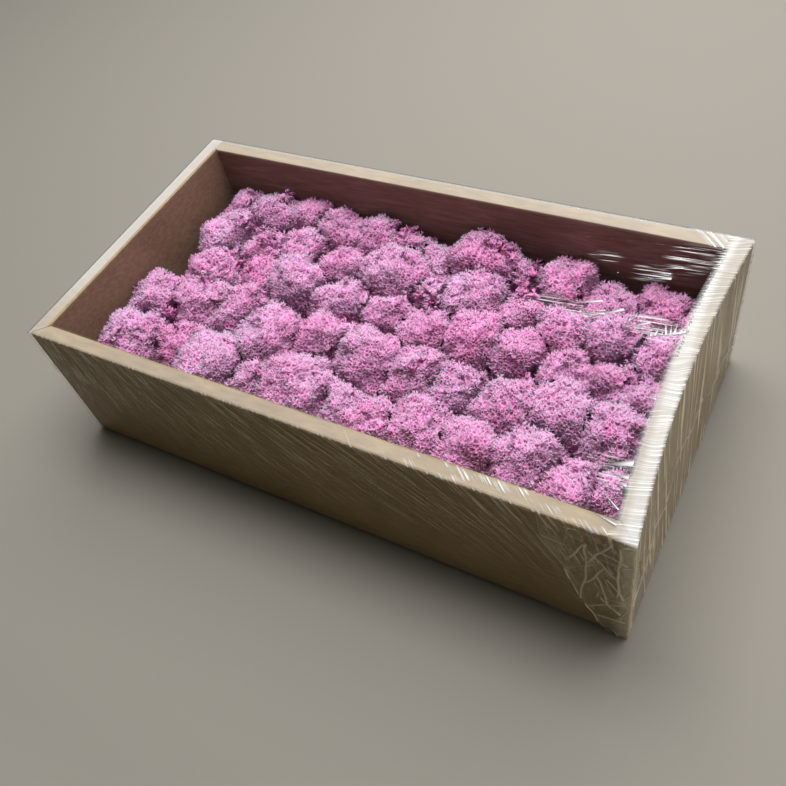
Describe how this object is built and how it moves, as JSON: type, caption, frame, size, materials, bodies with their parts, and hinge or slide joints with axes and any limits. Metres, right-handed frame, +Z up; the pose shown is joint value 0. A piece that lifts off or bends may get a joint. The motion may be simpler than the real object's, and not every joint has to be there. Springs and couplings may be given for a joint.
{
  "type": "tray of reindeer moss",
  "caption": "Open kraft board tray packed with soft dyed heads of reindeer moss and wrapped in clear shrink film, with a flat base to stand on.",
  "frame": {"origin": "on the surface that it stands on, under the middle of the tray", "axes": "+X along the tray's length towards the end wall that bows inwards, +Y across it, +Z up"},
  "size_m": [0.3212, 0.1702, 0.0852],
  "materials": {
    "kraft_board": "plain brown kraft liner, matt",
    "dyed_moss": "dyed and preserved, soft and matt",
    "clear_film": "clear and glossy, wrinkled"
  },
  "bodies": {
    "root": {"cardboard_tray": "kraft_board", "moss_head_a01": "dyed_moss", "moss_head_a02": "dyed_moss", "moss_head_a03": "dyed_moss", "moss_head_a04": "dyed_moss", "moss_head_a05": "dyed_moss", "moss_head_a06": "dyed_moss", "moss_head_a07": "dyed_moss", "moss_head_a08": "dyed_moss", "moss_head_a09": "dyed_moss", "moss_head_a10": "dyed_moss", "moss_head_a11": "dyed_moss", "moss_head_a12": "dyed_moss", "moss_head_a13": "dyed_moss", "moss_head_b01": "dyed_moss", "moss_head_b02": "dyed_moss", "moss_head_b03": "dyed_moss", "moss_head_b04": "dyed_moss", "moss_head_b05": "dyed_moss", "moss_head_b06": "dyed_moss", "moss_head_b07": "dyed_moss", "moss_head_b08": "dyed_moss", "moss_head_b09": "dyed_moss", "moss_head_b10": "dyed_moss", "moss_head_b11": "dyed_moss", "moss_head_c01": "dyed_moss", "moss_head_c02": "dyed_moss", "moss_head_c03": "dyed_moss", "moss_head_c04": "dyed_moss", "moss_head_c05": "dyed_moss", "moss_head_c06": "dyed_moss", "moss_head_c07": "dyed_moss", "moss_head_c08": "dyed_moss", "moss_head_c09": "dyed_moss", "moss_head_c10": "dyed_moss", "moss_head_c11": "dyed_moss", "moss_head_d01": "dyed_moss", "moss_head_d02": "dyed_moss", "moss_head_d03": "dyed_moss", "moss_head_d04": "dyed_moss", "moss_head_d05": "dyed_moss", "moss_head_d06": "dyed_moss", "moss_head_d07": "dyed_moss", "moss_head_d08": "dyed_moss", "moss_head_d09": "dyed_moss", "moss_head_d10": "dyed_moss", "moss_head_d11": "dyed_moss", "moss_head_e01": "dyed_moss", "moss_head_e02": "dyed_moss", "moss_head_e03": "dyed_moss", "moss_head_e04": "dyed_moss", "moss_head_e05": "dyed_moss", "moss_head_e06": "dyed_moss", "moss_head_e07": "dyed_moss", "moss_head_e08": "dyed_moss", "moss_head_e09": "dyed_moss", "moss_head_e10": "dyed_moss", "moss_head_e11": "dyed_moss", "moss_head_e12": "dyed_moss", "film_wrap": "clear_film"}
  },
  "joints": []
}
